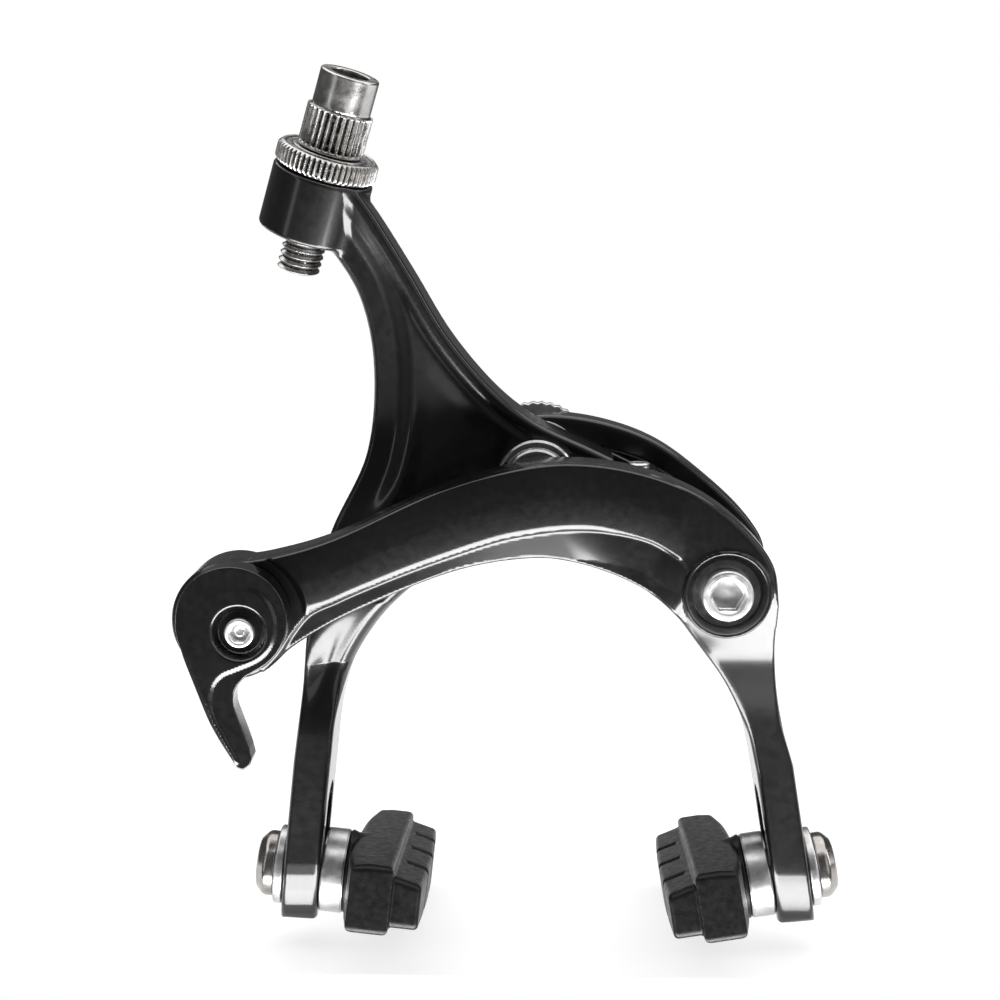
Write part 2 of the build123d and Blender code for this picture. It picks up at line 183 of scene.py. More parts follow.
class Outline:
    """Distance to a flat closed outline, or to an open line.

    It is worked out on a fine table and read back between the table's points.
    """

    STEP = 0.25
    MARGIN = 7.0

    def __init__(self, parts, closed=True):
        line = np.concatenate([np.array(part, float) for part in parts])
        if closed:
            line = np.concatenate([line, line[:1]])
        self.low = line.min(0) - self.MARGIN
        self.count = np.ceil((line.max(0) + self.MARGIN - self.low) / self.STEP).astype(int) + 1
        u = self.low[0] + self.STEP * np.arange(self.count[0])
        v = self.low[1] + self.STEP * np.arange(self.count[1])
        grid = np.stack(np.meshgrid(u, v, indexing="ij"), -1).reshape(-1, 2)
        value = line_distance(line, grid)
        if closed:
            inside = np.zeros(len(grid), bool)
            for (x0, z0), (x1, z1) in zip(line, line[1:]):
                if z0 == z1:
                    continue
                spans = (grid[:, 1] >= min(z0, z1)) & (grid[:, 1] < max(z0, z1))
                inside ^= spans & (grid[:, 0] < x0 + (grid[:, 1] - z0) * (x1 - x0) / (z1 - z0))
            value = np.where(inside, -value, value)
        self.table = value.reshape(self.count)

    def __call__(self, x, z):
        u = (np.stack([x, z], 1) - self.low) / self.STEP
        base = np.clip(np.floor(u).astype(int), 0, self.count - 2)
        f = np.clip(u - base, 0, 1)
        i, j = base[:, 0], base[:, 1]
        t = self.table
        near = t[i, j] * (1 - f[:, 1]) + t[i, j + 1] * f[:, 1]
        far = t[i + 1, j] * (1 - f[:, 1]) + t[i + 1, j + 1] * f[:, 1]
        outside = np.linalg.norm(np.maximum(np.maximum(-u, u - (self.count - 1)), 0), axis=1) * self.STEP
        return near * (1 - f[:, 0]) + far * f[:, 0] + outside


# Cells left free round a piece, points worked out at once, a slope's step and a near-nothing length.
NET_MARGIN = 2.3
SLICE_POINTS = 400_000
SLOPE_STEP = 0.04
TINY = 1e-9


def sampled(field, low, cell, counts):
    """The field on a grid, a slice at a time."""
    values = np.empty(counts, np.float32)
    y, z = (low[k] + cell * np.arange(counts[k]) for k in (1, 2))
    yz = np.stack(np.meshgrid(y, z, indexing="ij"), -1).reshape(-1, 2)
    block = max(1, SLICE_POINTS // len(yz))
    for start in range(0, counts[0], block):
        xs = low[0] + cell * np.arange(start, min(start + block, counts[0]))
        p = np.concatenate([np.column_stack([np.full(len(yz), x), yz]) for x in xs])
        values[start:start + len(xs)] = field(p).reshape(len(xs), counts[1], counts[2])
    return values


def gradient(field, points, step):
    """The field's slope at each point, by central differences."""
    return np.stack([field(points + s) - field(points - s) for s in np.eye(3) * step], 1) / (2 * step)


def surface_net(field, low, high, cell):
    """Points, quads and normals of the field's surface: one point in each cell that it crosses."""
    low = np.array(low, float) - NET_MARGIN * cell
    counts = np.ceil((np.array(high, float) + NET_MARGIN * cell - low) / cell).astype(int) + 1
    values = sampled(field, low, cell, counts)
    inside = values < 0
    total = np.zeros((int(np.prod(counts)), 3))
    hits = np.zeros(int(np.prod(counts)))
    strides = np.array([counts[1] * counts[2], counts[2], 1])
    quads = []
    for axis in range(3):
        near, far = [slice(None)] * 3, [slice(None)] * 3
        near[axis], far[axis] = slice(0, -1), slice(1, None)
        near, far = tuple(near), tuple(far)
        at = np.argwhere(inside[near] != inside[far])
        first = values[near][tuple(at.T)]
        last = values[far][tuple(at.T)]
        place = at.astype(float)
        place[:, axis] += first / (first - last)
        u, v = (axis + 1) % 3, (axis + 2) % 3
        ring = []
        for du, dv in ((0, 0), (1, 0), (1, 1), (0, 1)):
            cell_at = at.copy()
            cell_at[:, u] -= du
            cell_at[:, v] -= dv
            flat = cell_at @ strides
            for k in range(3):
                total[:, k] += np.bincount(flat, place[:, k], len(hits))
            hits += np.bincount(flat, minlength=len(hits))
            ring.append(flat)
        ring = np.stack(ring, 1)
        flip = first < 0
        ring[flip] = ring[flip][:, ::-1]
        quads.append(ring[:, ::-1])
    used = np.flatnonzero(hits)
    number = np.full(len(hits), -1)
    number[used] = np.arange(len(used))
    points = low + cell * total[used] / hits[used][:, None]
    for _ in range(3):
        slope = gradient(field, points, SLOPE_STEP)
        steepness = np.maximum((slope**2).sum(1), 0.25)
        move = slope * (field(points) / steepness)[:, None]
        length = np.maximum(np.linalg.norm(move, axis=1), TINY)
        points -= move * np.minimum(1, 0.5 * cell / length)[:, None]
    normals = gradient(field, points, 0.35 * cell)
    normals /= np.maximum(np.linalg.norm(normals, axis=1), TINY)[:, None]
    return points, number[np.concatenate(quads)], normals


def solid(name, body, node, material, field, cell):
    """A meshed field as a piece on a body, standing for one CAD node."""
    points, quads, normals = surface_net(field, *mm_box(node), cell)
    mesh = bpy.data.meshes.new(name)
    mesh.from_pydata((points * MM).tolist(), [], quads.tolist())
    mesh.update()
    mesh.shade_smooth()
    mesh.normals_split_custom_set_from_vertices(normals.tolist())
    piece = bpy.data.objects.new(name, mesh)
    bpy.context.scene.collection.objects.link(piece)
    mesh.materials.append(material)
    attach(piece, body)
    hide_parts(node)


# ---------------------------------------------------------------- materials

def new_material(name, **sockets):
    material = bpy.data.materials.new(name)
    material.use_nodes = True
    shader = material.node_tree.nodes["Principled BSDF"]
    for socket, value in sockets.items():
        shader.inputs[socket.replace("_", " ")].default_value = value
    return material, material.node_tree, shader


def noise(tree, scale, detail, roughness=0.5):
    """Noise in the object's own space, at so many cycles in a metre."""
    place = tree.nodes.new("ShaderNodeTexCoord")
    texture = tree.nodes.new("ShaderNodeTexNoise")
    texture.inputs["Scale"].default_value = scale
    texture.inputs["Detail"].default_value = detail
    texture.inputs["Roughness"].default_value = roughness
    tree.links.new(place.outputs["Object"], texture.inputs["Vector"])
    return texture.outputs["Fac"]


def feed(shader, socket, output):
    """Link an output into a socket of the shader."""
    shader.id_data.links.new(output, shader.inputs[socket])


def ramp(tree, value, stops):
    """A colour ramp of (place, colour) stops."""
    node = tree.nodes.new("ShaderNodeValToRGB")
    while len(node.color_ramp.elements) < len(stops):
        node.color_ramp.elements.new(0.5)
    for element, (place, colour) in zip(node.color_ramp.elements, stops):
        element.position = place
        element.color = (*colour, 1) if len(colour) == 3 else colour
    tree.links.new(value, node.inputs["Fac"])
    return node.outputs["Color"]


def spread(tree, value, low, high, start=0.3, end=0.7):
    """The value from start to end, mapped to low to high."""
    node = tree.nodes.new("ShaderNodeMapRange")
    for socket, number in (("From Min", start), ("From Max", end), ("To Min", low), ("To Max", high)):
        node.inputs[socket].default_value = number
    tree.links.new(value, node.inputs["Value"])
    return node.outputs["Result"]


def bump(tree, height, strength, distance, onto=None):
    node = tree.nodes.new("ShaderNodeBump")
    node.inputs["Strength"].default_value = strength
    node.inputs["Distance"].default_value = distance
    tree.links.new(height, node.inputs["Height"])
    if onto is not None:
        tree.links.new(onto, node.inputs["Normal"])
    return node.outputs["Normal"]


def edge_mask(tree, low, high):
    """High along convex edges, from the mesh's pointiness."""
    geometry = tree.nodes.new("ShaderNodeNewGeometry")
    return spread(tree, geometry.outputs["Pointiness"], 0, 1, low, high)


def mix(tree, factor, a, b):
    node = tree.nodes.new("ShaderNodeMix")
    node.data_type = "RGBA"
    tree.links.new(factor, node.inputs["Factor"])
    for socket, colour in (("A", a), ("B", b)):
        target = [s for s in node.inputs if s.name == socket and s.type == "RGBA"][0]
        if isinstance(colour, tuple):
            target.default_value = (*colour, 1)
        else:
            tree.links.new(colour, target)
    return [s for s in node.outputs if s.type == "RGBA"][0]


def paint(name, roughness, coat, grain=1.0):
    """Black paint on a forging: a fine orange peel under a thin clear coat."""
    material, tree, shader = new_material(
        name, Coat_Weight=coat, Coat_Roughness=0.16, Specular_IOR_Level=0.18)
    deep, pale, worn = (0.0012, 0.0012, 0.0014), (0.0028, 0.0028, 0.0031), (0.008, 0.008, 0.0085)
    colour = ramp(tree, noise(tree, 60, 3), [(0.3, deep), (0.7, pale)])
    feed(shader, "Base Color", mix(tree, edge_mask(tree, 0.56, 0.7), colour, worn))
    feed(shader, "Roughness", spread(tree, noise(tree, 900, 2), roughness - 0.04, roughness + 0.06))
    peel = bump(tree, noise(tree, 1500, 2), 0.25 * grain, 0.00004)
    feed(shader, "Normal", bump(tree, noise(tree, 5200, 2, 0.6), 0.35 * grain, 0.00002, peel))
    return material


def metal(name, colour, roughness, stain=(0.5, 0.48, 0.46), depth=0.000006, painted_groove_shade=False):
    """Plated or turned steel: fine tool marks, a faint stain and, with painted_groove_shade, painted shade
    darkening the hollows between ribs.
    """
    material, tree, shader = new_material(name, Metallic=1.0)
    dull = tuple(c * s for c, s in zip(colour, (0.72, 0.7, 0.68)))
    tint = ramp(tree, noise(tree, 260, 4, 0.6), [(0.35, dull), (0.6, colour)])
    dirt = spread(tree, noise(tree, 900, 5, 0.7), 0, 0.5, 0.56, 0.72)
    tint = mix(tree, dirt, tint, stain)
    if painted_groove_shade:
        # painted shade: hollows between ribs, knurl valleys and other concave spots are darkened to near black
        tint = mix(tree, edge_mask(tree, 0.505, 0.465), tint, (0.03, 0.03, 0.03))
    feed(shader, "Base Color", tint)
    feed(shader, "Roughness", spread(tree, noise(tree, 700, 3, 0.6), roughness, roughness + 0.16))
    feed(shader, "Normal", bump(tree, noise(tree, 2600, 3, 0.6), 0.3, depth))
    return material


def rubber(name):
    """Moulded rubber: dull, slightly mottled, and pitted finely."""
    material, tree, shader = new_material(name, Specular_IOR_Level=0.28)
    deep, pale, rubbed = (0.0028, 0.0028, 0.0028), (0.0052, 0.0052, 0.0054), (0.014, 0.014, 0.0145)
    colour = ramp(tree, noise(tree, 420, 4, 0.6), [(0.3, deep), (0.72, pale)])
    feed(shader, "Base Color", mix(tree, edge_mask(tree, 0.54, 0.66), colour, rubbed))
    feed(shader, "Roughness", spread(tree, noise(tree, 1100, 3), 0.34, 0.5))
    coarse = bump(tree, noise(tree, 900, 3), 0.18, 0.00003)
    feed(shader, "Normal", bump(tree, noise(tree, 4200, 2), 0.5, 0.00003, coarse))
    return material


def plastic(name, colour, roughness):
    """Moulded nylon, very slightly translucent."""
    material, tree, shader = new_material(name, Subsurface_Weight=0.05)
    dull = tuple(c * 0.88 for c in colour)
    feed(shader, "Base Color", ramp(tree, noise(tree, 300, 2), [(0.3, dull), (0.7, colour)]))
    feed(shader, "Roughness", spread(tree, noise(tree, 1500, 2), roughness, roughness + 0.1))
    feed(shader, "Normal", bump(tree, noise(tree, 3000, 2), 0.3, 0.00002))
    return material


BLACK = paint("black_paint", 0.36, 0.9, 1.5)
LEVER_BLACK = paint("black_lever_paint", 0.3, 1.0, 0.6)
CHROME = metal("chrome_steel", (0.88, 0.88, 0.89), 0.32, depth=0.000009)
BOLT_STEEL = metal("plated_bolt_steel", (0.44, 0.425, 0.41), 0.16, depth=0.000004)
STEEL = metal("zinc_steel", (0.72, 0.72, 0.73), 0.28, depth=0.000012)
# the adjuster's steel carries painted shade in its hollows
TURNED = metal("adjuster_steel", (0.6, 0.595, 0.59), 0.2,
               stain=(0.42, 0.4, 0.38), depth=0.000002, painted_groove_shade=True)
SPRING = metal("spring_steel", (0.42, 0.42, 0.43), 0.3)
DARK_STEEL = metal("blackened_steel", (0.36, 0.36, 0.365), 0.12, stain=(0.05, 0.05, 0.05))
BRONZE = metal("bronze", (0.5, 0.33, 0.16), 0.34)
NYLON = plastic("white_nylon", (0.66, 0.65, 0.6), 0.42)
RUBBER = rubber("shoe_rubber")
MATERIALS = {"black_paint": BLACK, "chrome_steel": CHROME, "zinc_steel": STEEL, "adjuster_steel": TURNED,
             "spring_steel": SPRING, "blackened_steel": DARK_STEEL, "bronze": BRONZE, "white_nylon": NYLON,
             "shoe_rubber": RUBBER}

# ---------------------------------------------------------------- places shared with the CAD

SIDE = joint_place("c_arm_pivot")
QR = joint_place("qr_lever_turn")
RING = joint_place("lock_ring_turn")
BARREL_AXIS = joint_axis("lock_ring_turn")
QR_SCREW = (mm_box("qr_screw")[0] + mm_box("qr_screw")[1]) / 2
ARM_FRONT = mm_box("c_arm")[0][1]
ARM_BACK = ARM_FRONT + 7.5

# Sizes that several pieces share, in millimetres.
M6_R = 3.0
M6_CLEAR_R = 3.1
SHANK_R = 3.25
BUSH_R = 4.2
SLOT_LONG = 10.0
LEG_THICK = 5.2
LEG_TOP = 17
FOOT_DROP = 6.9
SHOE_TURN_DEPTH = 6
FORGING_CELL = 0.32


def leg_axes(side):
    """A leg's frame at the foot of its slot: along points inwards, up goes up the leg."""
    inward = joint_axis(side + "_shoe_angle")
    place = joint_place(side + "_shoe_angle") - SHOE_TURN_DEPTH * inward
    return Axes(place, inward, (0, 1 if side == "left" else -1, 0))


LEGS = {side: leg_axes(side) for side in ("left", "right")}


def leg_point(side, height, depth):
    """An (X, Z) point of a leg, by height above the slot's foot and depth from the inner face."""
    axes = LEGS[side]
    p = axes.origin + axes.up * height - axes.along * depth
    return p[0], p[2]


def slot_field(side, p):
    """The slot through a leg that its shoe's bolt slides in."""
    q = LEGS[side].local(p)
    return np.hypot(q[:, 0], q[:, 1] - np.clip(q[:, 1], 0, SLOT_LONG)) - M6_CLEAR_R


# ---------------------------------------------------------------- front arm

# Front views, as (X, Z) points.
ARCH_TOP = [(QR[0], -10.2), (-36.0, -9.5), (-27.0, -6.8), (-13.2, -0.4), (-2.4, 2.7), (5.6, 3.4),
            (13.7, 2.2), (21.1, -0.6), (27.0, -4.8), (31.3, -10.0), (32.4, -15.8)]
ARCH_OUTSIDE = [(32.4, -15.8), (32.5, -23.0), (33.5, -31.5), leg_point("right", LEG_TOP, LEG_THICK)]
ARCH_INSIDE = [leg_point("right", LEG_TOP, 0), (29.2, -34.2), (26.3, -27.8), (22.6, -22.4), (18.2, -16.6),
               (12.3, -12.6), (4.3, -10.1), (-2.3, -9.8), (-11.6, -11.6), (-23.3, -16.4),
               (-31.7, -21.0), (-36.4, -24.8)]
BAND_LOW = [(-37.0, -25.2), (-35.6, -23.5), (-33.3, -20.4), (-30.6, -17.2), (-27.1, -15.5),
            (-23.6, -13.9), (-15.6, -10.6), (-6.2, -7.3), (-0.9, -6.1), (4.3, -5.5), (9.5, -5.7),
            (15.0, -6.9), (19.4, -9.4)]
# Side views, as (Y, Z) points.
FRONT_FALL = [(-32.2, -11), (-32.0, -12.8), (-31.4, -15), (-30.3, -17.4), (-28.9, -20.4), (-27.5, -23.4),
              (-26.9, -26.6), (-26.5, -30.5), (-26.2, -36), (-26.05, -43), (-26.05, -50)]
LEG_FOOT_LINE = [(-26.1, -54.5), (-25.95, -56.2), (-25.5, -58.6), (-24.85, -61.2), (-24.2, -62.6),
                 (-23.4, -63.8), (-22.3, -64.35), (-14.9, -64.35), (-14.1, -62.8)]
RIGHT_LEG_BACK = [(-14.1, -58.5), (-14.1, -34), (-14.6, -27.5), (-16.5, -22), (-20.0, -16.5), (-24.9, -12)]
WEB_FRONT, BOSS_FACE = -30.7, -32.6
END_R, END_FRONT, END_BACK, END_BORE_R, WELL_R = 8.1, -31.3, -21.0, 4.65, 10.0
FRONT_BOSS_R, FRONT_BOSS_BACK_R = 5.95, 6.8
RECESS_R, RECESS_FLOOR = 5.5, -30.9
LUG_LOW, LUG_HIGH = (11.6, -25.5, -2.0), (17.2, -12.0, 0.6)
LUG_HOLE_X, LUG_HOLE_Y, LUG_HOLE_R = 14.4, -15.2, 1.65


def make_c_arm():
    """Forged front arm: a raised band over a thinner flange, the boss, the round end and the right leg."""
    foot = [leg_point("right", -FOOT_DROP, LEG_THICK), leg_point("right", -FOOT_DROP, 0)]
    whole = Outline([smooth_line(ARCH_TOP), smooth_line(ARCH_OUTSIDE), foot, smooth_line(ARCH_INSIDE),
                     [(QR[0], QR[2])]])
    band = Outline([smooth_line(ARCH_TOP), [(32.4, -19.0), (25.5, -19.0)], smooth_line(BAND_LOW)[::-1],
                    [(QR[0], QR[2])]])
    crease = Outline([smooth_line(BAND_LOW)], closed=False)
    front_line = smooth_line([*FRONT_FALL, *LEG_FOOT_LINE[:4]])
    side = Outline([[(-32.2, 20)], front_line, LEG_FOOT_LINE[4:], smooth_line(RIGHT_LEG_BACK),
                    [(-24.9, 20)]])

    def field(p):
        x, y, z = p.T
        d = whole(x, z)
        db = band(x, z)
        boss_r = np.hypot(x - SIDE[0], z - SIDE[2])
        from_crease = crease(x, z)
        crown = 0.55 * (1 - np.clip(-db / 5.0, 0, 1)) ** 2
        skirt = 1.5 * (1 - ease(boss_r, 5.8, 10.5))
        middle_lean = 0.155 * ease(x, -24, -4) * (1 - ease(x + 0.6 * z, -1, 6))
        lean = 0.1 + 0.14 * (1 - ease(x, -36, -31)) + middle_lean
        web_front = WEB_FRONT + lean * np.minimum(from_crease, 4.5)
        web = meet(d, span(y, web_front - skirt, ARM_BACK), 0.35)
        main = meet(db, span(y, ARM_FRONT + crown, ARM_BACK), 0.3)
        wide = 0.62 + 0.9 * (1 - ease(x, -34, -28)) - 1.0 * ease(x, 6, 19)
        bevel = 0.91 * (ARM_FRONT + crown - y) + 0.41 * (wide - from_crease)
        main = meet(main, bevel, 0.12)
        arch = join(web, main, 0.5)
        fall = np.interp(-z, -front_line[:, 1], front_line[:, 0])
        arch = meet(arch, 0.9 * (fall - 4 * (1 - ease(x, 12, 21)) + 3 * ease(-z, 27, 44) - y), 0.3)
        column = meet(meet(d, side(y, z), 0.9), 0.9 * (fall + 2 * (1 - ease(x, 15, 22)) - y), 0.3)
        column = meet(column, 15 - x, 0.8)
        arm = join(arch, column, 0.6)
        radius = np.hypot(x - QR[0], z - QR[2])
        well = meet(radius - WELL_R - (END_FRONT - y) * 0.8, y - END_FRONT)
        end = meet(radius - END_R, span(y, END_FRONT, END_BACK), 0.8)
        arm = join(cut(arm, well, 0.3), end, 0.6)
        boss = meet(boss_r - FRONT_BOSS_R, span(y, ARM_FRONT - 0.1, -26), 0.35)
        boss = join(boss, meet(boss_r - FRONT_BOSS_BACK_R, span(y, -28, -12.9), 0.4))
        arm = join(arm, boss, 0.3)
        recess = meet(boss_r - RECESS_R + 0.7 * np.clip(y - BOSS_FACE, 0, 3), y - RECESS_FLOOR)
        arm = cut(arm, recess, 0.2)
        lug = meet(span(x, LUG_LOW[0], LUG_HIGH[0]), span(z, LUG_LOW[2], LUG_HIGH[2]), 0.6)
        lug = meet(lug, span(y, LUG_LOW[1], LUG_HIGH[1]), 0.5)
        arm = join(arm, lug, 0.6)
        arm = cut(arm, boss_r - BUSH_R)
        arm = cut(arm, radius - END_BORE_R, 0.15)
        arm = cut(arm, np.hypot(x - LUG_HOLE_X, y - LUG_HOLE_Y) - LUG_HOLE_R)
        return cut(arm, slot_field("right", p), 0.25)

    solid("c_arm_forging", "c_arm", "c_arm", BLACK, field, FORGING_CELL)


# ---------------------------------------------------------------- rear arm

# Front views, as (X, Z) points.
HORN_OUTER = [(-26.0, 41.5), (-22.2, 36.5), (-17.3, 28.4), (-12.2, 19.6), (-6.0, 12.1), (0, 7.4),
              (7.6, 3.8), (17.4, -0.9)]
TAIL_END = (18.4, -3.2)
ARM_UNDER = [(17.6, -8.4), (8.0, -8.6), (-2.0, -9.6), (-12.0, -12.0), (-19.5, -17.0),
             (-25.0, -24.5), (-27.7, -32.0), leg_point("left", LEG_TOP, 0)]
HORN_INNER = [leg_point("left", LEG_TOP, LEG_THICK), (-32.7, -30.0), (-31.4, -18.0), (-28.9, -8.0),
              (-23.9, 3.0), (-22.6, 15.0), (-24.3, 25.0), (-29.0, 33.0)]
# Side views, as (Y, Z) points.
REAR_ARM_FRONT = [(-26.6, 47), (-25.4, 38), (-24.0, 29), (-22.5, 20), (-21.1, 12), (-19.9, 5), (-19.5, -3),
                  (-20.8, -9), (-23.8, -13), (-25.0, -17), (-25.4, -23), (-25.6, -30), (-25.8, -38),
                  (-25.95, -50)]
REAR_ARM_BACK = [(-14.1, -58.5), (-14.1, -36), (-12.0, -27), (-9.8, -18), (-9.3, -8), (-9.4, 8),
                 (-10.6, 20), (-12.8, 29), (-15.2, 38), (-16.4, 47)]
HORN_BOSS_R, HORN_BOSS_LOW, HORN_BOSS_TOP, HORN_BORE_R = 6.9, -10.5, -1.55, 3.15
TAIL_STEP_X, TAIL_STEP_Y, TAIL_STEP_Z = 10.8, -11.7, -4.1
POST_X, POST_Z, POST_R, POST_BACK, POST_FRONT = -17.5, -11.6, 2.0, -6.0, -10.5


def make_y_arm():
    """Forged rear arm: the horn with the adjuster's boss, the hub, the tail and the left leg."""
    foot = [leg_point("left", -FOOT_DROP, 0), leg_point("left", -FOOT_DROP, LEG_THICK)]
    whole = Outline([smooth_line(HORN_OUTER), [TAIL_END], smooth_line(ARM_UNDER), foot,
                     smooth_line(HORN_INNER), [(-30.5, 37.0)]])
    left = Outline([smooth_line([(-32.5, 40.0), *HORN_INNER[::-1][:-1]])], closed=False)
    right = Outline([smooth_line(HORN_OUTER)], closed=False)
    inside = Outline([smooth_line(ARM_UNDER[3:])], closed=False)
    side = Outline([smooth_line(REAR_ARM_FRONT), LEG_FOOT_LINE, smooth_line(REAR_ARM_BACK)])
    axes = Axes(RING, BARREL_AXIS)

    def field(p):
        x, y, z = p.T
        d = whole(x, z)
        from_left, from_right = left(x, z), right(x, z)
        crease = 0.14 * (1 - ease(np.abs(from_right - 2.2), 0.1, 0.9))
        edges = 1.7 * (1 - ease(from_left, 2.8, 6.2)) + 0.25 * (1 - ease(from_right, 1.6, 3.6)) + crease
        dip = 0.5 * ease(from_left, 4.5, 8) * ease(from_right, 2, 6)
        dip = dip * ease(z, -9, -4) * (1 - ease(z, 1, 24))
        inner = inside(x, z)
        hollow = 0.28 * np.clip(-17 - z, 0, 9) * ease(z, -36, -26) * (1 - ease(inner, 2.6, 7.0))
        under = 0.42 * np.clip(1.9 - inner, 0, 1.9) ** 2 * ease(z, -34, -27)
        drop = edges * ease(z, -9, 0) + dip + hollow + under
        front = ease(-y, 12.5, 17.0)
        arm = meet(d, side(y - drop * front, z), 0.85)
        q = axes.local(p)
        r = np.hypot(q[:, 0], q[:, 1])
        boss = meet(r - HORN_BOSS_R, span(q[:, 2], HORN_BOSS_LOW, HORN_BOSS_TOP), 0.5)
        arm = join(arm, boss, 0.8)
        arm = meet(arm, q[:, 2] - HORN_BOSS_TOP, 0.3)
        step = np.maximum(TAIL_STEP_Z - z, np.maximum(TAIL_STEP_X - x, y - TAIL_STEP_Y))
        arm = cut(arm, step, 0.25)
        arm = join(arm, disc_y(p, POST_X, POST_Z, POST_R, POST_FRONT, POST_BACK), 0.3)
        arm = cut(arm, r - HORN_BORE_R, 0.2)
        arm = cut(arm, np.hypot(x, z) - BUSH_R)
        return cut(arm, slot_field("left", p), 0.25)

    solid("y_arm_forging", "y_arm", "y_arm", BLACK, field, FORGING_CELL)


# ---------------------------------------------------------------- bracket

# Front views, as (X, Z) points.
BRACKET_RIM = [(-4.6, 5.6), (0.5, 7.3), (9.1, 6.4), (17.6, 3.3), (25.6, -2.6), (31.4, -8.4),
               (33.4, -12.8), (32.6, -18.2), (28.4, -21.8), (22.5, -21.4), (12.0, -16.0), (3.0, -10.6),
               (-4.2, -6.4), (-7.6, -0.4), (-4.6, 5.6)]
BRACKET_POCKET = [(9.5, 2.6), (16.0, 0.4), (21.5, -4.0), (18.5, -8.5), (14.5, -10.2), (9.5, -6.8),
                  (7.6, -1.5), (9.5, 2.6)]
PLATE_FRONT, PLATE_BACK, POCKET_FLOOR = -8.2, -1.8, -7.0
SIDE_BOLT_R, SIDE_BOLT_BACK = 3.0, -3.2
SPRING_HOLE_Y, SPRING_HOLE_Z, SPRING_HOLE_R = -5.0, -12.8, 0.9


def make_bracket():
    """Carrier plate behind both arms, with its forward boss at the side pivot."""
    whole = Outline([smooth_line(BRACKET_RIM)])
    inner = Outline([smooth_line(BRACKET_POCKET)])

    def field(p):
        x, y, z = p.T
        plate = meet(whole(x, z), span(y, PLATE_FRONT, PLATE_BACK), 0.8)
        plate = cut(plate, meet(inner(x, z), span(y, -20, POCKET_FLOOR), 0.4), 0.3)
        plate = join(plate, disc_y(p, SIDE[0], SIDE[2], 6.4, -12.1, -5.0, 0.4), 0.8)
        plate = cut(plate, np.hypot(x, z) - SHANK_R)
        side_bore = meet(np.hypot(x - SIDE[0], z - SIDE[2]) - SIDE_BOLT_R, y - SIDE_BOLT_BACK)
        plate = cut(plate, side_bore)
        spring_hole = np.hypot(y - SPRING_HOLE_Y, z - SPRING_HOLE_Z) - SPRING_HOLE_R
        return cut(plate, meet(spring_hole, span(x, -3, 13.5)))

    solid("bracket_forging", "mount", "bracket", BLACK, field, FORGING_CELL)


# ---------------------------------------------------------------- quick-release lever

# Front views, as (X, Z) points.
BLADE_LEFT = [(-47.7, -18.0), (-46.9, -22.1), (-44.2, -29.8), (-42.6, -33.2), (-40.3, -37.1)]
BLADE_TIP = [(-40.1, -37.4), (-39.3, -37.65), (-38.4, -37.0), (-38.1, -36.2)]
BLADE_RIGHT = [(-38.4, -34.8), (-39.0, -32.9), (-39.8, -30.6), (-40.4, -28.6), (-40.2, -26.8),
               (-39.1, -25.2), (-36.0, -22.4)]
RAISED_RIGHT = [(-36.6, -12.9), (-35.0, -14.6), (-34.2, -17.0), (-34.3, -18.8), (-34.8, -20.5),
                (-35.8, -21.9), (-37.4, -23.0), (-40.0, -24.1), (-41.6, -24.8), (-42.6, -25.9),
                (-43.0, -27.2), (-43.1, -28.7), (-42.6, -30.7), (-41.6, -32.6), (-40.4, -35.0),
                (-39.6, -36.8)]
RAISED_LEFT = [(-40.4, -36.9), (-42.4, -33.2), (-44.0, -29.8), (-45.6, -25.9), (-46.4, -22.1),
               (-46.0, -18.6), (-45.2, -15.8), (-43.4, -13.6), (-40.4, -12.5), (-37.6, -12.6)]
LEVER_FRONT, LEVER_BACK, PIT_FLOOR = -36.0, -31.7, -34.5
HEAD_X, HEAD_Z, HEAD_R = QR[0] + 0.9, QR[2] + 1.1, 7.4


def make_qr_lever():
    """Hooked lever: a round head with a raised face whose right edge runs down the blade in an S."""
    blade = Outline([smooth_line(BLADE_LEFT), smooth_line(BLADE_TIP), smooth_line(BLADE_RIGHT)])
    raised = Outline([smooth_line(RAISED_RIGHT), smooth_line(RAISED_LEFT)])

    def field(p):
        x, y, z = p.T
        plan = join(np.hypot(x - HEAD_X, z - HEAD_Z) - HEAD_R, blade(x, z), 0.5)
        off = raised(x, z)
        soft = ease(z, -21, -14) * (1 - ease(x, -38.5, -35.4)) + (1 - ease(x, -45, -42)) * ease(z, -27, -21)
        drop = 0.3 * np.clip((off + 0.6) / 0.6, 0, 1) * (1 - 0.9 * np.minimum(soft, 1))
        lever = meet(plan, span(y, LEVER_FRONT + drop, LEVER_BACK), 0.2)
        pit = np.hypot(x - QR_SCREW[0], z - QR_SCREW[2]) - 3.75 + 0.5 * np.clip(y - LEVER_FRONT, 0, 3)
        lever = cut(lever, meet(pit, y - PIT_FLOOR), 0.25)
        return cut(lever, disc_y(p, QR_SCREW[0], QR_SCREW[2], 1.55, -60, 0))

    solid("qr_lever_body", "qr_lever", "qr_lever", LEVER_BLACK, field, 0.2)


# ---------------------------------------------------------------- screws, nuts and washers

SERRATIONS = 40


def socket_head(p, x, z, radius, front, back, pit, across, r):
    """A round head along Y with a hexagon socket in its front and a countersink round the socket."""
    head = disc_y(p, x, z, radius, front, back, r)
    depth = p[:, 1] - front
    hole = meet(hexagon(p[:, 0] - x, p[:, 2] - z, across), depth - pit)
    countersink = meet(np.hypot(p[:, 0] - x, p[:, 2] - z) - across * 0.62 + depth, depth - 1.0)
    return cut(cut(head, hole, 0.08), countersink, 0.08)


def make_side_pivot_bolt():
    """Shouldered bolt that the front arm turns on."""
    front = mm_box("side_pivot_bolt")[0][1]

    def field(p):
        head = socket_head(p, SIDE[0], SIDE[2], 3.45, front, -31.2, 1.8, 4.0, 0.45)
        return join(head, disc_y(p, SIDE[0], SIDE[2], SIDE_BOLT_R, -31.3, -3.4, 0.3))

    solid("side_pivot_bolt_body", "mount", "side_pivot_bolt", CHROME, field, 0.16)


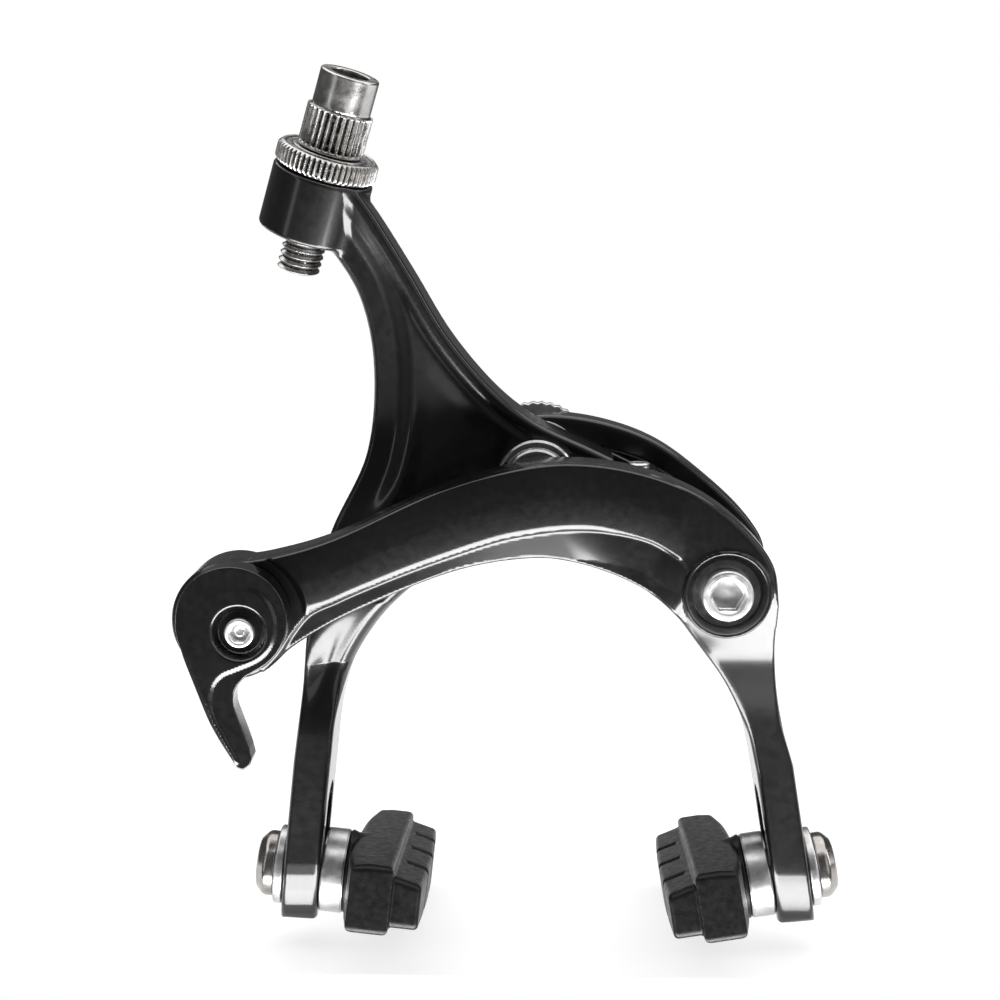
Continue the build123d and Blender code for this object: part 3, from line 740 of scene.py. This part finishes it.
def make_pivot_nut():
    """Round nut on the centre bolt: a flange, and a smaller head with a socket."""
    low, high = mm_box("pivot_nut")
    head_r, flange_r = 4.4, 5.5

    def field(p):
        r, y = np.hypot(p[:, 0], p[:, 2]), p[:, 1] - low[1]
        head = socket_head(p, 0, 0, head_r, low[1], high[1], 1.0, 4.0, 0.1)
        head = meet(head, 0.7 * (r - head_r - y + 0.34), 0.05)
        flange = disc_y(p, 0, 0, flange_r, low[1] + 1.2, high[1], 0.1)
        flange = meet(flange, 0.7 * (r - flange_r - y + 1.54), 0.05)
        return cut(join(head, flange, 0.1), disc_y(p, 0, 0, SHANK_R, -23.0, -10))

    solid("pivot_nut_body", "mount", "pivot_nut", DARK_STEEL, field, 0.14)


def make_qr_screw():
    """Small screw in the lever's pit."""
    low, high = mm_box("qr_screw")

    def field(p):
        head = socket_head(p, QR_SCREW[0], QR_SCREW[2], 2.0, low[1], low[1] + 1.2, 0.8, 2.4, 0.3)
        return join(head, disc_y(p, QR_SCREW[0], QR_SCREW[2], 1.5, low[1] + 1.1, high[1], 0.2))

    solid("qr_screw_body", "qr_lever", "qr_screw", CHROME, field, 0.1)


def make_centre_bolt():
    """M6 bolt whose free end is threaded, with a plain shank under it."""
    low, high = mm_box("centre_bolt")

    def field(p):
        x, y, z = p.T
        r = np.hypot(x, z)
        cutting = 0.52 * ease(y, 8.0, 9.5)
        threaded = r - M6_R + cutting * helix(y, np.arctan2(z, x))
        free = meet(threaded, span(y, -1, high[1]), 0.45)
        return join(free, meet(r - SHANK_R, span(y, low[1], 0), 0.1))

    solid("centre_bolt_body", "mount", "centre_bolt", STEEL, field, 0.17)


def make_serrated_washer():
    """Washer with radial teeth round its rim, flat where it seats."""
    low, high = mm_box("serrated_washer")

    def field(p):
        x, y, z = p.T
        r = np.hypot(x, z)
        teeth = 0.28 * vee(np.arctan2(z, x) * SERRATIONS / (2 * pi))
        return cut(meet(r - 8.6 + teeth, span(y, low[1], high[1]), 0.25), r - SHANK_R)

    solid("serrated_washer_body", "mount", "serrated_washer", STEEL, field, 0.16)


def make_centring_screw():
    """Fine-threaded grub screw with a pointed end and a socket at its top."""
    low, high = mm_box("centring_screw")
    middle = (low + high) / 2

    def field(p):
        x, y, z = p[:, 0] - middle[0], p[:, 1] - middle[1], p[:, 2]
        r = np.hypot(x, y)
        rod = r - 1.6 + 0.22 * helix(z, np.arctan2(y, x), 0.5)
        screw = meet(meet(rod, span(z, low[2], high[2]), 0.2), r * 0.7 - (z - low[2] + 0.5) * 0.7 - 0.1)
        return cut(screw, meet(hexagon(x, y, 1.5), high[2] - 1.2 - z))

    solid("centring_screw_body", "centring_screw", "centring_screw", STEEL, field, 0.1)


# ---------------------------------------------------------------- barrel adjuster

GRIP_RIBS = 28
KNURLS = 56


def make_adjuster():
    """Threaded barrel with a ribbed grip, and the knurled lock ring that moves it."""
    axes = Axes(RING, BARREL_AXIS)

    def polar(p):
        q = axes.local(p)
        return np.hypot(q[:, 0], q[:, 1]), np.arctan2(q[:, 1], q[:, 0]), q[:, 2]

    def barrel(p):
        r, angle, z = polar(p)
        ribs = 0.3 * (1 + np.cos(angle * GRIP_RIBS)) * ease(z, 1.9, 2.3) * (1 - ease(z, 6.9, 7.2))
        grip = meet(r - 4.5 + ribs, span(z, 1.55, 7.35), 0.3)
        top = meet(r - 4.0, span(z, 7.2, 12.15), 0.3)
        painted_groove_shade = np.hypot(r - 4.25, z - 7.35) - 0.25
        thread = r - M6_R + 0.55 * helix(z, angle) * (1 - ease(z, -2.5, -1.8))
        rod = meet(thread, span(z, -15.8, 2.0), 0.3)
        body = cut(join(join(grip, top), rod), painted_groove_shade, 0.1)
        body = cut(body, meet(r - 2.6, 4.15 - z), 0.25)
        return cut(body, r - 1.1)

    def ring(p):
        r, angle, z = polar(p)
        knurl = 0.24 * (1 + np.cos(angle * KNURLS))
        rim = meet(r - 7.0 + knurl, span(z, -1.45, 1.45), 0.2)
        rim = meet(rim, r * 0.7071 + np.abs(z) * 0.7071 - 7.9 * 0.7071, 0.1)
        dish = meet(np.abs(r - 5.55) - 0.5, 1.25 - z)
        return cut(cut(rim, dish, 0.15), r - 3.05)

    for node, made in (("adjuster_barrel", barrel), ("lock_ring", ring)):
        solid(node + "_body", node, node, TURNED, made, 0.11)


# ---------------------------------------------------------------- shoes and their fixings

SHOE_HALF = 25.0
SHOE_TURN = radians(11)
GROOVE_PITCH = 12.3
INSERT_R = 3.6
BUTTON_FRONT = -9.4


def make_shoe(side):
    """One-piece rubber shoe: a deep body, a round flange on its back and a block in four segments."""
    leg = LEGS[side]
    turn = -SHOE_TURN if side == "left" else SHOE_TURN
    axes = Axes(leg.origin, leg.along, leg.across * cos(turn) + leg.up * sin(turn))
    back_line = smooth_line([(-SHOE_HALF, 5.6), (-15.0, 4.6), (0, 4.4), (15.0, 4.6), (SHOE_HALF, 5.6)])
    plan = Outline([back_line, [(SHOE_HALF, 11.25), (-SHOE_HALF, 11.25)]])

    def field(p):
        x, y, z = axes.local(p).T
        top = 5.8 - 0.13 * np.maximum(8 - z, 0)
        body = meet(plan(x, z), np.maximum(y - top, -3.3 - y), 0.9)
        flange = meet(0.92 * (np.hypot(x, y) - 6.1 + 0.4 * (z - 3.5)), span(z, 3.5, 8.5), 0.4)
        shoe = join(body, flange, 0.6)
        face = 15.55 - 0.5 * (x / SHOE_HALF) ** 2
        block = meet(np.abs(x) - 24.3, np.maximum(y - 4.5 + 0.24 * (z - 11.3), -2.3 - y), 1.0)
        block = meet(block, span(z, 10.0, face), 0.6)
        for n in (-1, 0, 1):
            painted_groove_shade = meet(np.abs(x - n * GROOVE_PITCH - 0.3 * y) - 0.75, 12.4 - z)
            block = cut(block, painted_groove_shade, 0.5)
        shoe = join(shoe, block, 0.35)
        shoe = cut(shoe, meet(np.hypot(x, y) - M6_CLEAR_R, z - 6.0))
        return cut(shoe, meet(np.hypot(x, y) - INSERT_R, span(z, 5.0, 9.2)))

    solid(side + "_shoe_rubber", side + "_shoe", side + "_brake_shoe", RUBBER, field, 0.24)


def make_fixings(side):
    """Button-head bolt and the three washers of one shoe."""
    axes = LEGS[side]

    def local(p):
        q = axes.local(p)
        return np.hypot(q[:, 0], q[:, 1]), q

    def bolt(p):
        r, q = local(p)
        z = q[:, 2]
        head = meet(r - 4.65, span(z, BUTTON_FRONT, -6.7), 0.25)
        head = meet(head, (r - 3.4 - (z - BUTTON_FRONT)) * 0.7071, 0.3)
        hole = meet(hexagon(q[:, 0], q[:, 1], 4.0), z + 7.6)
        thread = r - M6_R + 0.5 * helix(z, np.arctan2(q[:, 1], q[:, 0])) * ease(z, 2.0, 3.0)
        return join(cut(head, hole, 0.15), meet(thread, span(z, -6.9, 9.0), 0.3))

    def ball(p, height):
        """A ball of the washers' radius, with its centre so far in from the leg."""
        q = axes.local(p) - np.array([0, 0, height])
        return np.linalg.norm(q, axis=1) - 9.0

    def washer(p, radius, low, high, edge):
        r, q = local(p)
        return cut(meet(r - radius, span(q[:, 2], low, high), edge), r - M6_CLEAR_R, 0.15)

    def outer_washer(p):
        return washer(p, 5.6, -6.6, -5.3, 0.3)

    def concave(p):
        return cut(washer(p, 6.0, 0.1, 3.4, 0.35), ball(p, 10.03), 0.1)

    def convex(p):
        return meet(meet(washer(p, 6.0, 0.1, 3.4, 0.25), ball(p, 10.0), 0.2), ball(p, 1.2), 0.1)

    for name, made, slot, material in (
            ("shoe_bolt", bolt, "chrome_steel", BOLT_STEEL),
            ("outer_washer", outer_washer, "zinc_steel", STEEL),
            ("concave_washer", concave, "zinc_steel", STEEL),
            ("convex_washer", convex, "zinc_steel", STEEL)):
        node = side + "_" + name
        solid(node + "_body", side + "_clamp", node, material, made, 0.14)


# ---------------------------------------------------------------- stage

def make_stage():
    """Pale flat sheet under the legs and behind them."""
    half_wide, front, back, height = 0.5, -0.031, 0.5, cad_low[2] - 0.0015
    points = [(-half_wide, front, height), (half_wide, front, height),
              (half_wide, back, height), (-half_wide, back, height)]
    mesh = bpy.data.meshes.new("floor")
    mesh.from_pydata(points, [], [(0, 1, 2, 3)])
    material, tree, shader = new_material(
        "pale_floor", Roughness=0.9, Specular_IOR_Level=0.2,
        Emission_Color=(1, 1, 1, 1), Emission_Strength=0.75)
    tint = ramp(tree, noise(tree, 3, 2), [(0.3, (0.42, 0.42, 0.42)), (0.7, (0.45, 0.45, 0.45))])
    feed(shader, "Base Color", tint)
    mesh.materials.append(material)
    floor = bpy.data.objects.new("floor", mesh)
    bpy.context.scene.collection.objects.link(floor)


def make_lamp(name, place, target, size, power):
    """A rectangular lamp, hidden from the camera, turned to its target."""
    data = bpy.data.lights.new(name, "AREA")
    data.shape = "RECTANGLE"
    data.size, data.size_y = size
    data.energy = power
    lamp = bpy.data.objects.new(name, data)
    lamp.location = place
    lamp.rotation_euler = (Vector(target) - Vector(place)).to_track_quat("-Z", "Y").to_euler()
    lamp.visible_camera = False
    bpy.context.scene.collection.objects.link(lamp)


def make_light():
    """A large soft lamp above the brake, three beside it, a bright one below its front, a dim surround."""
    make_lamp("top_light", (0.0, 0.2, 0.8), (0, 0.2, 0), (1.6, 1.4), 13)
    make_lamp("right_light", (0.55, -0.05, 0.2), (0, 0, 0), (0.15, 0.4), 0.7)
    make_lamp("right_front_light", (0.35, -0.4, 0.1), (0, 0, 0), (0.25, 0.5), 0.3)
    make_lamp("left_front_light", (-0.38, -0.32, 0.1), (0, 0, 0), (0.06, 0.5), 0.14)
    make_lamp("low_front_light", (0.0, -0.22, -0.3), (0, -0.22, 0), (0.6, 0.26), 9.0)
    world = bpy.data.worlds.new("soft_surround")
    bpy.context.scene.world = world
    world.use_nodes = True
    tree = world.node_tree
    ray = tree.nodes.new("ShaderNodeLightPath")
    strength = tree.nodes.new("ShaderNodeMapRange")
    strength.inputs["To Min"].default_value = 0.1
    strength.inputs["To Max"].default_value = 1.0
    tree.links.new(ray.outputs["Is Camera Ray"], strength.inputs["Value"])
    background = tree.nodes["Background"]
    background.inputs["Color"].default_value = (1, 1, 1, 1)
    tree.links.new(strength.outputs["Result"], background.inputs["Strength"])
    bpy.context.scene.view_settings.view_transform = "Standard"


def make_camera():
    """Slightly above the brake and almost straight in front of it."""
    data = bpy.data.cameras.new("camera")
    data.lens, data.sensor_width = 63.0, 36.0
    data.clip_start = 0.01
    camera = bpy.data.objects.new("camera", data)
    bpy.context.scene.collection.objects.link(camera)
    ahead = Vector((-0.024, 0.987, -0.1607)).normalized()
    right = Vector((1.0, 0.024, 0.0)).normalized()
    up = right.cross(ahead)
    turn = Matrix((right, up, -ahead)).transposed().to_4x4()
    camera.matrix_world = Matrix.Translation((0.0007, -0.261, 0.03595)) @ turn
    bpy.context.scene.camera = camera


make_stage()
make_light()
make_camera()
make_c_arm()
make_y_arm()
make_bracket()
make_qr_lever()
make_side_pivot_bolt()
make_pivot_nut()
make_qr_screw()
make_centre_bolt()
make_serrated_washer()
make_centring_screw()
make_adjuster()
for shoe_side in ("left", "right"):
    make_shoe(shoe_side)
    make_fixings(shoe_side)

slots = {part["node"]: part["material_slot"] for part in record["subparts"]}
for node, thing in frame["nodes"].items():
    thing.data.materials.clear()
    thing.data.materials.append(MATERIALS[slots[node]])
